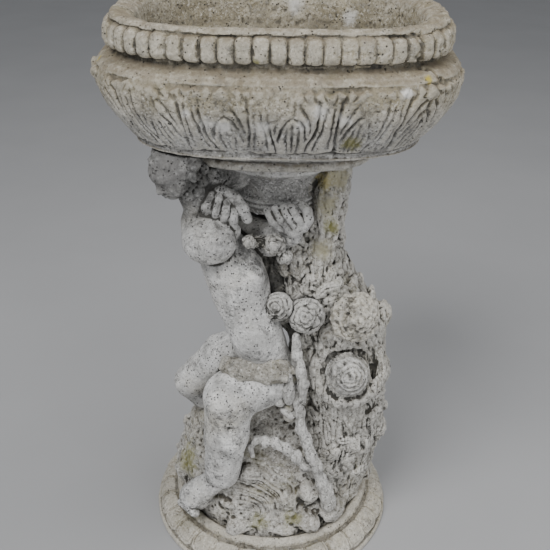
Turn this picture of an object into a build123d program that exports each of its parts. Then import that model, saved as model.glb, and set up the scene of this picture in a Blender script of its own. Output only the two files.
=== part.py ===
from build123d import *

import math
import os

# A cast-stone font in two castings: an oval basin, and a pedestal carved as a seated child that
# holds up the basin beside a tree trunk. Millimetres, +Z up, the origin at the centre of the
# plinth's underside. The child sits facing -X, and the open side of the group faces -Y.

# Driving dimensions of the plinth.
PLINTH_RADIUS = 200.0
PLINTH_HEIGHT = 40.0
RING_RADIUS = 164.0
RING_HEIGHT = 8.0
FILLET_HEIGHT = 9.0

# Driving dimensions of the basin. Half-widths are along X; the oval is shorter along Y.
BASIN_RATIO = 0.78
BASIN_POWER = 3.0
SEAT_HEIGHT = 648.0
ROLL_HALF_WIDTH = 134.0
LEDGE_HALF_WIDTH = 193.0
LEDGE_HEIGHT = 688.0
BELLY_HALF_WIDTH = 238.0
BELLY_HEIGHT = 769.0
BAND_HALF_WIDTH = 223.0
RIM_HEIGHT = 842.0
MOUTH_HALF_WIDTH = 180.0
BOWL_FLOOR_HEIGHT = 724.0

# Neck under the basin, round in plan.
NECK_RADIUS = 58.0
NECK_TORUS_RADIUS = 64.0
NECK_TOP_RADIUS = 92.0
NECK_BOTTOM_HEIGHT = 566.0

# Steel inside the stone.
DOWEL_RADIUS = 8.0
DOWEL_BURIED = 36.0
DOWEL_STANDING = 30.0
DOWEL_HOLE_RADIUS = 9.5
DOWEL_HOLE_DEPTH = 33.0
BAR_RADIUS = 5.0
BAR_AT = (58.0, 12.0)
BAR_BOTTOM = 12.0
BAR_TOP = 545.0


# ---------------------------------------------------------------- shapes


def round_cone(start, end, start_radius, end_radius):
    """A limb: two spheres joined by the cone that is tangent to both, turned in one piece."""
    start = Vector(*start)
    end = Vector(*end)
    length = (end - start).length
    slope = math.asin((start_radius - end_radius) / length)
    sine = math.sin(slope)
    cosine = math.cos(slope)
    lean = math.pi / 4 + slope / 2
    first = (start_radius * cosine, start_radius * sine)
    second = (end_radius * cosine, length + end_radius * sine)
    low_mid = (start_radius * math.sin(lean), -start_radius * math.cos(lean))
    lift = math.pi / 4 - slope / 2
    high_mid = (end_radius * math.sin(lift), length + end_radius * math.cos(lift))
    outline = ThreePointArc((0, -start_radius), low_mid, first)
    outline += Line(first, second)
    outline += ThreePointArc(second, high_mid, (0, length + end_radius))
    outline += Line((0, length + end_radius), (0, -start_radius))
    half = make_face(outline)
    turned = revolve(Plane.XZ * half, Axis.Z)
    return Plane(origin=start, z_dir=end - start) * turned


def chain(points):
    """Round cones one after the other through (x, y, z, radius) points.

    Each link starts a little thinner than the last one ended, so no two balls coincide.
    """
    shape = None
    for a, b in zip(points, points[1:]):
        link = round_cone(a[:3], b[:3], a[3] * 0.985, b[3])
        shape = link if shape is None else shape + link
    return shape


def dome(centre, direction, radius, height, depth):
    """A round boss: a cylinder going `depth` into the stone under a ball cap `height` high."""
    ball = (radius**2 + height**2) / (2 * height)
    half_turn = math.asin(radius / ball) / 2
    shoulder = (ball * math.sin(half_turn), height - ball + ball * math.cos(half_turn))
    outline = Line((0, -depth), (radius, -depth))
    outline += Line((radius, -depth), (radius, 0))
    outline += ThreePointArc((radius, 0), shoulder, (0, height))
    outline += Line((0, height), (0, -depth))
    turned = revolve(Plane.XZ * make_face(outline), Axis.Z)
    return Plane(origin=centre, z_dir=direction) * turned


def ellipse_wire(x, y, z, half_x, half_y):
    return (Pos(x, y, z) * Ellipse(half_x, half_y)).wire()


def lofted(sections):
    """A smooth solid through ellipses given as (x, y, z, half_x, half_y)."""
    return Part() + Solid.make_loft([ellipse_wire(*section) for section in sections], False)


def oval_wire(half_width, z):
    """A rounded oval, |x/a|^BASIN_POWER + |y/b|^BASIN_POWER = 1, as one closed curve."""
    steps = 32
    points = []
    for step in range(steps):
        angle = 2 * math.pi * step / steps
        cosine = math.cos(angle)
        sine = math.sin(angle)
        x = math.copysign(abs(cosine) ** (2 / BASIN_POWER), cosine) * half_width
        y = math.copysign(abs(sine) ** (2 / BASIN_POWER), sine) * half_width * BASIN_RATIO
        points.append((x, y, z))
    return Wire([Spline(points, periodic=True)])


def oval_stack(profile):
    """A solid through ovals given as (half_width, z), from the lowest to the highest."""
    return Part() + Solid.make_loft([oval_wire(a, z) for a, z in profile], True)


def rod(x, y, bottom, top, radius):
    return Pos(x, y, bottom) * Cylinder(
        radius, top - bottom, align=(Align.CENTER, Align.CENTER, Align.MIN)
    )


# ---------------------------------------------------------------- basin and plinth


def belly_half_width(z):
    """The belly swells from the ledge to its widest line as a quarter cosine wave."""
    part_way = (BELLY_HEIGHT - z) / (BELLY_HEIGHT - LEDGE_HEIGHT)
    swell = math.cos(math.pi / 2 * part_way)
    return LEDGE_HALF_WIDTH + (BELLY_HALF_WIDTH - LEDGE_HALF_WIDTH) * swell


def basin():
    foot = [
        (ROLL_HALF_WIDTH - 9, SEAT_HEIGHT),
        (ROLL_HALF_WIDTH, SEAT_HEIGHT + 5),
        (ROLL_HALF_WIDTH, SEAT_HEIGHT + 9),
        (ROLL_HALF_WIDTH - 4, SEAT_HEIGHT + 13),
        (ROLL_HALF_WIDTH + 24, SEAT_HEIGHT + 22),
        (LEDGE_HALF_WIDTH - 4, SEAT_HEIGHT + 32),
        (LEDGE_HALF_WIDTH, SEAT_HEIGHT + 36),
    ]
    belly = []
    steps = 7
    for step in range(steps + 1):
        z = LEDGE_HEIGHT + (BELLY_HEIGHT - LEDGE_HEIGHT) * step / steps
        belly.append((belly_half_width(z), z))
    shoulder = [
        (BELLY_HALF_WIDTH - 1, BELLY_HEIGHT + 8),
        (BELLY_HALF_WIDTH - 8, BELLY_HEIGHT + 18),
        (BAND_HALF_WIDTH - 10, BELLY_HEIGHT + 27),
        (BAND_HALF_WIDTH - 9, BELLY_HEIGHT + 32),
    ]
    band = [
        (BAND_HALF_WIDTH - 3, BELLY_HEIGHT + 35),
        (BAND_HALF_WIDTH, RIM_HEIGHT - 24),
        (BAND_HALF_WIDTH - 2, RIM_HEIGHT - 10),
        (BAND_HALF_WIDTH - 8, RIM_HEIGHT - 2),
        (BAND_HALF_WIDTH - 15, RIM_HEIGHT),
    ]
    outside = oval_stack(foot + belly + shoulder + band)
    hollow = [
        (MOUTH_HALF_WIDTH - 80, BOWL_FLOOR_HEIGHT),
        (MOUTH_HALF_WIDTH - 36, BOWL_FLOOR_HEIGHT + 7),
        (MOUTH_HALF_WIDTH - 10, BOWL_FLOOR_HEIGHT + 24),
        (MOUTH_HALF_WIDTH + 5, BOWL_FLOOR_HEIGHT + 50),
        (MOUTH_HALF_WIDTH + 5, BOWL_FLOOR_HEIGHT + 80),
        (MOUTH_HALF_WIDTH, RIM_HEIGHT - 8),
        (MOUTH_HALF_WIDTH + 8, RIM_HEIGHT + 2),
    ]
    bowl = outside - oval_stack(hollow)
    hole_top = SEAT_HEIGHT + DOWEL_HOLE_DEPTH
    return bowl - rod(0, 0, SEAT_HEIGHT - 1, hole_top, DOWEL_HOLE_RADIUS)


def plinth():
    """A turned disc: bottom fillet, leaf band, groove, raised ring and a flat bed inside it."""
    band_foot = PLINTH_RADIUS - 3
    band_head = RING_RADIUS + 9
    groove = PLINTH_HEIGHT - 5
    ring_top = PLINTH_HEIGHT + RING_HEIGHT
    bulge = (PLINTH_RADIUS - 6, groove - 6)
    outline = Line((0, 0), (PLINTH_RADIUS, 0))
    outline += Line((PLINTH_RADIUS, 0), (PLINTH_RADIUS, FILLET_HEIGHT))
    outline += Line((PLINTH_RADIUS, FILLET_HEIGHT), (band_foot, FILLET_HEIGHT))
    outline += ThreePointArc((band_foot, FILLET_HEIGHT), bulge, (band_head, groove))
    outline += Line((band_head, groove), (RING_RADIUS, groove))
    outline += Line((RING_RADIUS, groove), (RING_RADIUS, ring_top - 2))
    outline += Line((RING_RADIUS, ring_top - 2), (RING_RADIUS - 3, ring_top))
    outline += Line((RING_RADIUS - 3, ring_top), (RING_RADIUS - 12, ring_top))
    outline += Line((RING_RADIUS - 12, ring_top), (RING_RADIUS - 15, PLINTH_HEIGHT))
    outline += Line((RING_RADIUS - 15, PLINTH_HEIGHT), (0, PLINTH_HEIGHT))
    outline += Line((0, PLINTH_HEIGHT), (0, 0))
    return Part() + revolve(Plane.XZ * make_face(outline), Axis.Z)


def neck_capital():
    """The turned neck that the hands hold: torus, drum, and a cove that flares to the seat."""
    torus = NECK_BOTTOM_HEIGHT + 10
    drum_foot = torus + 12
    cove_foot = SEAT_HEIGHT - 34
    lip = SEAT_HEIGHT - 7
    cove_mid = (NECK_RADIUS + 8, lip - 11)
    outline = Line((0, NECK_BOTTOM_HEIGHT), (NECK_RADIUS, NECK_BOTTOM_HEIGHT))
    outline += Line((NECK_RADIUS, NECK_BOTTOM_HEIGHT), (NECK_RADIUS, torus))
    swell = (NECK_TORUS_RADIUS, torus + 6)
    outline += ThreePointArc((NECK_RADIUS, torus), swell, (NECK_RADIUS, drum_foot))
    outline += Line((NECK_RADIUS, drum_foot), (NECK_RADIUS, cove_foot))
    outline += ThreePointArc((NECK_RADIUS, cove_foot), cove_mid, (NECK_TOP_RADIUS, lip))
    outline += Line((NECK_TOP_RADIUS, lip), (NECK_TOP_RADIUS, SEAT_HEIGHT))
    outline += Line((NECK_TOP_RADIUS, SEAT_HEIGHT), (0, SEAT_HEIGHT))
    outline += Line((0, SEAT_HEIGHT), (0, NECK_BOTTOM_HEIGHT))
    return Part() + revolve(Plane.XZ * make_face(outline), Axis.Z)


# ---------------------------------------------------------------- the seated child


def putto_head():
    skull = round_cone((-128, -93, 640), (-138, -99, 634), 37, 34)
    jaw = round_cone((-138, -99, 634), (-150, -107, 618), 30, 18)
    return skull + jaw


def putto_torso():
    spine = [
        (-108, -87, 604, 21),
        (-76, -76, 540, 37),
        (-57, -75, 480, 41),
        (-38, -78, 415, 40),
        (-20, -72, 350, 40),
    ]
    return chain(spine)


def hand(palm_start, palm_end, palm_radius, tips, finger_radius):
    """A palm with its fingers: each tip is a place, and the fingers leave the palm's end."""
    shape = round_cone(palm_start, palm_end, palm_radius, palm_radius * 0.85)
    for tip in tips:
        shape = shape + round_cone(palm_end, tip, finger_radius * 1.1, finger_radius)
    return shape


def putto_left_arm():
    return chain([(-92, -84, 532, 30), (-92, -116, 548, 34), (-76, -96, 572, 20)])


def putto_left_hand():
    tips = [(-86 + 13 * i, -66 - 4 * i, 604 + 2 * i) for i in range(4)]
    return hand((-70, -92, 568), (-66, -84, 584), 16, tips, 6.5)


def putto_right_arm():
    return chain([(-48, -20, 532, 28), (-8, -52, 528, 25), (22, -80, 552, 17)])


def putto_right_hand():
    tips = [(-4 + 13 * i, -84 - abs(i - 2), 590) for i in range(4)]
    return hand((18, -84, 560), (16, -84, 568), 16, tips, 6.5)


def putto_left_leg():
    return chain(
        [(-4, -80, 304, 40), (-66, -113, 292, 37), (-71, -116, 228, 32), (-77, -115, 142, 25)]
    )


def putto_right_leg():
    return chain([(-38, -54, 336, 34), (-128, -38, 270, 26), (-112, -30, 228, 21)])


def putto_left_foot():
    return chain([(-88, -108, 116, 18), (-120, -108, 94, 23), (-138, -111, 84, 15)])


def hip_drapery():
    swag = [
        (-74, -92, 330, 20),
        (-44, -102, 334, 25),
        (-8, -100, 328, 24),
        (14, -92, 306, 18),
        (24, -96, 270, 15),
    ]
    return chain(swag)


# ---------------------------------------------------------------- tree, flowers and ground


def tree_trunk():
    return lofted(
        [
            (96, 8, 42, 66, 96),
            (104, 4, 110, 76, 92),
            (110, 0, 200, 80, 86),
            (106, 0, 300, 78, 82),
            (98, 0, 370, 82, 82),
            (74, 4, 430, 70, 76),
            (46, 6, 490, 64, 72),
            (38, 8, 545, 64, 66),
            (42, 6, 600, 61, 60),
            (44, 2, SEAT_HEIGHT - 1, 61, 56),
        ]
    )


def upper_branch_stub():
    return dome((120, -82, 420), (0.25, -1, 0.35), 37, 16, 50)


def lower_branch_stub():
    return dome((112, -92, 326), (0.1, -1, 0.55), 34, 4, 46)


def large_rose():
    return dome((46, -92, 428), (-0.1, -1, 0.45), 26, 18, 40)


def small_rose():
    return dome((4, -98, 446), (-0.25, -1, 0.4), 20, 14, 36)


def upper_flowers():
    return dome((0, -92, 532), (-0.1, -1, 0.35), 23, 14, 40)


def vine():
    stem = [
        (34, -106, 388, 8),
        (41, -114, 320, 9),
        (46, -118, 268, 9),
        (50, -120, 214, 10),
        (66, -124, 172, 11),
        (88, -124, 120, 13),
    ]
    branch = [(66, -124, 170, 9), (28, -124, 182, 9), (-14, -120, 216, 7)]
    return chain(stem) + chain(branch)


def vine_fruit():
    return chain([(22, -112, 316, 11), (24, -116, 290, 11)])


def rocky_ground():
    """The boulder that the child sits on, widening to fill the plinth's bed."""
    return lofted(
        [
            (0, 0, PLINTH_HEIGHT, 146, 146),
            (-2, 0, 90, 150, 138),
            (-8, 4, 130, 138, 120),
            (-18, 8, 175, 112, 98),
            (-28, 14, 225, 88, 76),
            (-34, 12, 275, 68, 62),
            (-38, 6, 305, 54, 54),
        ]
    )


def column_leaves():
    """The strip of leaves that climbs the trunk's front between the roses and the neck."""
    return chain([(62, -58, 470, 30), (66, -50, 530, 27), (78, -40, 600, 24), (82, -36, 618, 22)])


# ---------------------------------------------------------------- assembly


def largest_solid(shape):
    solids = sorted(shape.solids(), key=lambda solid: solid.volume)
    return Part() + solids[-1]


def boxes_meet(a, b):
    box_a = a.bounding_box()
    box_b = b.bounding_box()
    low = (box_a.min.X < box_b.max.X, box_a.min.Y < box_b.max.Y, box_a.min.Z < box_b.max.Z)
    high = (box_b.min.X < box_a.max.X, box_b.min.Y < box_a.max.Y, box_b.min.Z < box_a.max.Z)
    return all(low) and all(high)


def carve_apart(pieces):
    """Each piece gives way to the ones before it, so the pieces meet face to face."""
    placed = {}
    for name, shape in pieces:
        for other in placed.values():
            if boxes_meet(shape, other):
                shape = shape - other
        placed[name] = largest_solid(shape)
    return placed


def main():
    pieces = [
        (
            "locating_dowel",
            rod(0, 0, SEAT_HEIGHT - DOWEL_BURIED, SEAT_HEIGHT + DOWEL_STANDING, DOWEL_RADIUS),
        ),
        ("trunk_reinforcing_bar", rod(*BAR_AT, BAR_BOTTOM, BAR_TOP, BAR_RADIUS)),
        ("basin", basin()),
        ("plinth", plinth()),
        ("neck_capital", neck_capital()),
        ("putto_left_hand", putto_left_hand()),
        ("putto_right_hand", putto_right_hand()),
        ("hip_drapery", hip_drapery()),
        ("putto_torso", putto_torso()),
        ("putto_head", putto_head()),
        ("putto_left_arm", putto_left_arm()),
        ("putto_right_arm", putto_right_arm()),
        ("putto_left_leg", putto_left_leg()),
        ("putto_left_foot", putto_left_foot()),
        ("putto_right_leg", putto_right_leg()),
        ("upper_flowers", upper_flowers()),
        ("large_rose", large_rose()),
        ("small_rose", small_rose()),
        ("upper_branch_stub", upper_branch_stub()),
        ("lower_branch_stub", lower_branch_stub()),
        ("vine", vine()),
        ("vine_fruit", vine_fruit()),
        ("column_leaves", column_leaves()),
        ("tree_trunk", tree_trunk()),
        ("rocky_ground", rocky_ground()),
    ]
    os.makedirs("parts", exist_ok=True)
    for name, shape in carve_apart(pieces).items():
        export_step(shape, f"parts/{name}.step")
        print(name, round(shape.volume))


main()
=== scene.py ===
import math

import bpy
import numpy as np
from mathutils import Euler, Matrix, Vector


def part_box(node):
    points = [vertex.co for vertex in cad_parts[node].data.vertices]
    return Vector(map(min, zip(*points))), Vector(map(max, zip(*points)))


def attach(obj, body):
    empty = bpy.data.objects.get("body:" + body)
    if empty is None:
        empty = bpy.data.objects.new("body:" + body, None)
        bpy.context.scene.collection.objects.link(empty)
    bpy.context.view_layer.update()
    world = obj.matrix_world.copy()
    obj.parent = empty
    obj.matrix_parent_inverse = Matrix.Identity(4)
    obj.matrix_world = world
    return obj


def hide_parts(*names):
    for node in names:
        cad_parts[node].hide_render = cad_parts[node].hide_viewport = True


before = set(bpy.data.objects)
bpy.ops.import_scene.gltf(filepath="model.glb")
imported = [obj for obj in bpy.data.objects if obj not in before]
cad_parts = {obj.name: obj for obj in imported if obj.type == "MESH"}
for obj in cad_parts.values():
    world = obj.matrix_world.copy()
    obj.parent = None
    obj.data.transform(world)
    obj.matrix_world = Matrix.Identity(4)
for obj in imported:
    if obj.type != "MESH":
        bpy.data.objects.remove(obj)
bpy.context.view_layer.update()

# The font is sculpted here in millimetres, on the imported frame, and turned into metres as each
# mesh is made. Turned pieces are profiles with carved relief; carved pieces are blended clay on
# a grid. The basin rides on its own body, all the rest on the pedestal.

MM = 0.001
VOXEL = 1.5  # the clay's grid, for the large carved pieces
FINE_VOXEL = 1.3  # for the small carved pieces
ROSE_VOXEL = 1.2
TURN_STEP = 1.45  # between the rings and columns of a turned piece
AIR = 30.0  # distance to stone that an empty grid starts from
HOLLOW_REACHES = (4.0, 10.0)  # what counts as a fine and as a wide hollow
GOLDEN_ANGLE = 2.399963


# ---- numbers from the frame


def node_box(node):
    """A node's lowest and highest corners in millimetres."""
    low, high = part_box(node)
    return np.array(low) / MM, np.array(high) / MM


BASIN_LOW, BASIN_HIGH = node_box("basin")
PLINTH_LOW, PLINTH_HIGH = node_box("plinth")
NECK_FOOT = node_box("neck_capital")[0][2]
BELLY = (BASIN_HIGH[0] - BASIN_LOW[0]) / 2
SEAT = BASIN_LOW[2]
RIM = BASIN_HIGH[2]
PLINTH_RADIUS = (PLINTH_HIGH[0] - PLINTH_LOW[0]) / 2
RING_TOP = PLINTH_HIGH[2]
OVAL_RATIO = (BASIN_HIGH[1] - BASIN_LOW[1]) / (BASIN_HIGH[0] - BASIN_LOW[0])
OVAL_POWER = 3.0  # of the basin's plan: 2 is an ellipse, more is squarer


# ---- noise


def lattice(ix, iy, iz, seed):
    """A steady random number from 0 to 1 for each whole-number place."""
    mixed = ix.astype(np.uint32) * np.uint32(374761393)
    mixed = mixed + iy.astype(np.uint32) * np.uint32(668265263)
    mixed = mixed + iz.astype(np.uint32) * np.uint32(2246822519)
    mixed = mixed + np.uint32(seed * 3266489917 % 4294967296)
    mixed = (mixed ^ (mixed >> np.uint32(13))) * np.uint32(1274126177)
    mixed = mixed ^ (mixed >> np.uint32(16))
    return (mixed & np.uint32(0xFFFFFF)).astype(np.float32) / np.float32(0xFFFFFF)


def noise(points, size, seed=0):
    """Smooth noise from -1 to 1 whose lumps are `size` apart (a number or one for each axis)."""
    scaled = points / np.asarray(size, dtype=np.float32)
    whole = np.floor(scaled).astype(np.int64)
    part = (scaled - whole).astype(np.float32)
    part = part * part * (3 - 2 * part)
    total = np.zeros(len(points), np.float32)
    for dx in (0, 1):
        wx = part[:, 0] if dx else 1 - part[:, 0]
        for dy in (0, 1):
            wy = part[:, 1] if dy else 1 - part[:, 1]
            for dz in (0, 1):
                wz = part[:, 2] if dz else 1 - part[:, 2]
                corner = lattice(whole[:, 0] + dx, whole[:, 1] + dy, whole[:, 2] + dz, seed)
                total += wx * wy * wz * corner
    return total * 2 - 1


def fractal(points, size, octaves=3, seed=0):
    total = np.zeros(len(points), np.float32)
    weight = 1.0
    for octave in range(octaves):
        total += weight * noise(points, np.asarray(size) / 2**octave, seed + 17 * octave)
        weight *= 0.5
    return total


def smooth_step(low, high, value):
    part = np.clip((value - low) / (high - low), 0, 1)
    return part * part * (3 - 2 * part)


# ---- meshes


def vertex_normals(points, quads):
    a, b, c, d = (points[quads[:, i]] for i in range(4))
    face = np.cross(c - a, d - b)
    normals = np.zeros_like(points)
    for corner in range(4):
        np.add.at(normals, quads[:, corner], face)
    return normals / (np.linalg.norm(normals, axis=1, keepdims=True) + 1e-9)


def neighbour_mean(values, quads, rounds):
    """Values averaged over the mesh's neighbours a number of times."""
    here, before = quads.ravel(), np.roll(quads, 1, 1).ravel()
    ends, others = np.concatenate([here, before]), np.concatenate([before, here])
    size = len(values)
    count = np.bincount(ends, minlength=size)[:, None] + 1e-6
    for _ in range(rounds):
        near = values[others]
        sums = [np.bincount(ends, near[:, axis], size) for axis in range(3)]
        values = (np.stack(sums, 1) / count).astype(np.float32)
    return values


def hollows(points, quads, reaches):
    """How far each point lies below the surface smoothed over each reach, in millimetres."""
    normals = vertex_normals(points, quads)
    edge = np.linalg.norm(points[quads[:, 0]] - points[quads[:, 1]], axis=1).mean()
    smoothed = points
    done = 0
    found = []
    for reach in reaches:
        rounds = max(2, int(round((reach / edge) ** 2)))
        smoothed = neighbour_mean(smoothed, quads, rounds - done)
        done = rounds
        found.append(np.einsum("ij,ij->i", smoothed - points, normals))
    return found


def make_piece(name, points, quads, nodes, material, caps=(), body="pedestal"):
    """Makes a mesh of quads and caps, gives it its body and its material slot, and hides its CAD nodes."""
    mesh = bpy.data.meshes.new(name)
    corners = np.concatenate([quads.ravel()] + [np.asarray(cap) for cap in caps])
    sizes = [4] * len(quads) + [len(cap) for cap in caps]
    starts = np.concatenate([[0], np.cumsum(sizes)[:-1]])
    mesh.vertices.add(len(points))
    mesh.vertices.foreach_set("co", (points * MM).astype(np.float32).ravel())
    mesh.loops.add(len(corners))
    mesh.loops.foreach_set("vertex_index", corners.astype(np.int32))
    mesh.polygons.add(len(sizes))
    mesh.polygons.foreach_set("loop_start", starts.astype(np.int32))
    mesh.update(calc_edges=True)
    mesh.validate()
    mesh.shade_smooth()
    for title, values in zip(("fine_hollow", "wide_hollow"), hollows(points, quads, HOLLOW_REACHES)):
        layer = mesh.attributes.new(title, "FLOAT", "POINT")
        layer.data.foreach_set("value", values.astype(np.float32))
    piece = bpy.data.objects.new(name, mesh)
    bpy.context.scene.collection.objects.link(piece)
    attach(piece, body)
    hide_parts(*nodes)
    piece.data.materials.append(material)


# ---- clay on a grid


def dot(parts, row):
    """The sum of three products, for sparse grids that can't be stacked."""
    return sum(part * value for part, value in zip(parts, row))


class Clay:
    """A block of air on a grid. Shapes are blended in or carved out; negative is stone."""

    def __init__(self, low, high, step):
        self.low = np.array(low, np.float32)
        self.step = step
        size = np.ceil((np.array(high) - self.low) / step).astype(int) + 1
        self.field = np.full(size, AIR, np.float32)

    def window(self, low, high):
        """The slices and the coordinates of the grid between two corners."""
        first = np.floor((np.asarray(low) - self.low) / self.step).astype(int)
        last = np.ceil((np.asarray(high) - self.low) / self.step).astype(int) + 1
        first = np.clip(first, 0, self.field.shape)
        last = np.clip(last, 0, self.field.shape)
        slices = tuple(slice(a, b) for a, b in zip(first, last))
        axes = []
        for axis in range(3):
            ticks = np.arange(first[axis], last[axis], dtype=np.float32)
            axes.append(ticks * self.step + self.low[axis])
        return slices, np.meshgrid(*axes, indexing="ij", sparse=True)

    def apply(self, distance, slices, soft, carve=False):
        """Adds a shape, or carves it out, with a fillet about as wide as `soft`."""
        side = -1 if carve else 1
        old = side * self.field[slices]
        overlap = np.maximum(soft - np.abs(old - distance), 0) / soft
        self.field[slices] = side * (np.minimum(old, distance) - overlap * overlap * soft / 4)

    def limb(self, start, end, start_radius, end_radius, soft=6.0, carve=False):
        """A round cone between two places."""
        start = np.array(start, np.float32)
        end = np.array(end, np.float32)
        reach = max(start_radius, end_radius) + soft + 3 * self.step
        slices, grid = self.window(np.minimum(start, end) - reach, np.maximum(start, end) + reach)
        along = end - start
        offset = [axis - value for axis, value in zip(grid, start)]
        part = np.clip(dot(offset, along) / (float(along @ along) + 1e-6), 0, 1)
        away = sum((gap - part * run) ** 2 for gap, run in zip(offset, along))
        distance = np.sqrt(away) - (start_radius + part * (end_radius - start_radius))
        self.apply(distance, slices, soft, carve)

    def chain(self, points, soft=6.0, carve=False):
        for a, b in zip(points, points[1:]):
            self.limb(a[:3], b[:3], a[3], b[3], soft, carve)

    def lump(self, centre, radii, axes=None, soft=6.0, carve=False):
        """An ellipsoid; `axes` are its three directions, as rows."""
        centre = np.array(centre, np.float32)
        radii = np.array(radii, np.float32)
        axes = np.eye(3) if axes is None else np.asarray(axes)
        reach = float(radii.max()) + soft + 3 * self.step
        slices, grid = self.window(centre - reach, centre + reach)
        offset = [axis - value for axis, value in zip(grid, centre)]
        spans = [dot(offset, row) for row in axes]
        near = np.sqrt(sum((local / radius) ** 2 for local, radius in zip(spans, radii)))
        far = np.sqrt(sum((local / radius**2) ** 2 for local, radius in zip(spans, radii)))
        self.apply(near * (near - 1) / (far + 1e-6), slices, soft, carve)

    def ring(self, centre, normal, radius, thickness, soft=2.0, carve=False):
        """A torus."""
        centre = np.array(centre, np.float32)
        normal = np.array(normal, np.float32) / np.linalg.norm(normal)
        reach = radius + thickness + soft + 3 * self.step
        slices, grid = self.window(centre - reach, centre + reach)
        offset = [axis - value for axis, value in zip(grid, centre)]
        height = dot(offset, normal)
        flat = np.sqrt(np.maximum(dot(offset, offset) - height * height, 0))
        self.apply(np.sqrt((flat - radius) ** 2 + height**2) - thickness, slices, soft, carve)

    def column(self, sections, soft=6.0, round_ends=0.0):
        """A body through level ellipses (x, y, z, half_x, half_y), joined smoothly."""
        table = np.array(sections, np.float32)
        edge = soft + 3 * self.step
        low = [(table[:, 0] - table[:, 3]).min(), (table[:, 1] - table[:, 4]).min(), table[0, 2]]
        high = [(table[:, 0] + table[:, 3]).max(), (table[:, 1] + table[:, 4]).max(), table[-1, 2]]
        slices, (x, y, z) = self.window(np.array(low) - edge, np.array(high) + edge)
        level = z.ravel()
        curves = [np.interp(level, table[:, 2], table[:, i]) for i in (0, 1, 3, 4)]
        span = max(3, int(9 / self.step) | 1)
        even = np.ones(span) / span
        cx, cy, hx, hy = (
            np.convolve(np.pad(v, span // 2, mode="edge"), even, "valid")[None, None, :]
            for v in curves
        )
        reach = np.sqrt(((x - cx) / hx) ** 2 + ((y - cy) / hy) ** 2)
        side = (reach - 1) * np.minimum(hx, hy)
        ends = np.maximum(table[0, 2] - z, z - table[-1, 2])
        if round_ends:
            a = np.maximum(side + round_ends, 0)
            b = np.maximum(ends + round_ends, 0)
            distance = np.hypot(a, b) - round_ends
            distance = distance + np.minimum(np.maximum(side, ends) + round_ends, 0)
        else:
            distance = np.maximum(side, ends)
        self.apply(distance.astype(np.float32), slices, soft)

    def clear_basin(self):
        """Takes away what would reach into the basin above, which rests on the neck."""
        top = self.low + np.array(self.field.shape) * self.step
        slices, (x, y, z) = self.window((self.low[0], self.low[1], SEAT - 6), top)
        oval = (np.abs(x) ** OVAL_POWER + np.abs(y / OVAL_RATIO) ** OVAL_POWER) ** (1 / OVAL_POWER)
        heights = [SEAT - 1, SEAT, SEAT + 14, SEAT + 19, SEAT + 31, SEAT + 34]
        halves = [0, ROLL_HALF + 2, ROLL_HALF + 2, ROLL_HALF + 16, LEDGE_HALF - 2, LEDGE_HALF + 3]
        half = np.interp(z.ravel(), heights, halves)[None, None, :]
        distance = np.maximum(SEAT - 0.7 - z, oval - half).astype(np.float32)
        self.apply(distance, slices, 1.0, carve=True)

    def make(self, name, nodes, material, wear, relief=None, low=-1e3, high=1e3):
        """Meshes the clay, adds relief(points) along its normals, weathers it and makes a piece."""
        points, quads = self.mesh()
        if relief:
            shift = relief(points)
            points = points + vertex_normals(points, quads) * shift[:, None]
        points = weather(points, quads, *wear)
        points[:, 2] = np.clip(points[:, 2], low, high)
        make_piece(name, points, quads, nodes, material)

    def mesh(self):
        """The surface as quads (naive surface nets), keeping only the largest piece."""
        field = self.field
        inside = field < 0
        corners = [(i, j, k) for i in (0, 1) for j in (0, 1) for k in (0, 1)]
        full = field.shape
        count = np.zeros([n - 1 for n in full], np.int8)
        for i, j, k in corners:
            count += inside[i : full[0] - 1 + i, j : full[1] - 1 + j, k : full[2] - 1 + k]
        active = (count > 0) & (count < 8)
        cells = np.argwhere(active)
        index = np.full(active.shape, -1, np.int64)
        index[active] = np.arange(len(cells))
        total = np.zeros((len(cells), 3), np.float32)
        crossings = np.zeros(len(cells), np.float32)
        for a in corners:
            for axis in range(3):
                if a[axis]:
                    continue
                b = list(a)
                b[axis] = 1
                value_a = field[tuple((cells + a).T)]
                value_b = field[tuple((cells + b).T)]
                cross = (value_a < 0) != (value_b < 0)
                part = value_a[cross] / (value_a[cross] - value_b[cross])
                spot = np.tile(np.array(a, np.float32), (len(part), 1))
                spot[:, axis] = part
                total[cross] += spot
                crossings[cross] += 1
        points = (cells + total / crossings[:, None]) * self.step + self.low
        quads = []
        for axis in range(3):
            u, v = (axis + 1) % 3, (axis + 2) % 3
            first = np.take(inside, range(full[axis] - 1), axis)
            second = np.take(inside, range(1, full[axis]), axis)
            edges = np.argwhere(first != second)
            edges = edges[(edges[:, u] > 0) & (edges[:, v] > 0)]
            edges = edges[(edges[:, u] < full[u] - 1) & (edges[:, v] < full[v] - 1)]
            around = []
            for du, dv in ((-1, -1), (0, -1), (0, 0), (-1, 0)):
                cell = edges.copy()
                cell[:, u] += du
                cell[:, v] += dv
                around.append(index[tuple(cell.T)])
            around = np.stack(around, 1)
            leaving = inside[tuple(edges.T)]
            quads.append(np.where(leaving[:, None], around, around[:, ::-1]))
        return keep_largest(points.astype(np.float32), np.concatenate(quads))


def keep_largest(points, quads):
    """Drops every loose bit but the largest, so no crumb floats beside a piece."""
    label = np.arange(len(points))
    while True:
        lowest = label[quads].min(1)
        new = label.copy()
        for corner in range(4):
            np.minimum.at(new, quads[:, corner], lowest)
        new = new[new]
        if np.array_equal(new, label):
            break
        label = new
    names, sizes = np.unique(label, return_counts=True)
    kept = label == names[sizes.argmax()]
    renumber = np.cumsum(kept) - 1
    quads = quads[kept[quads[:, 0]]]
    return points[kept], renumber[quads]


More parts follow.
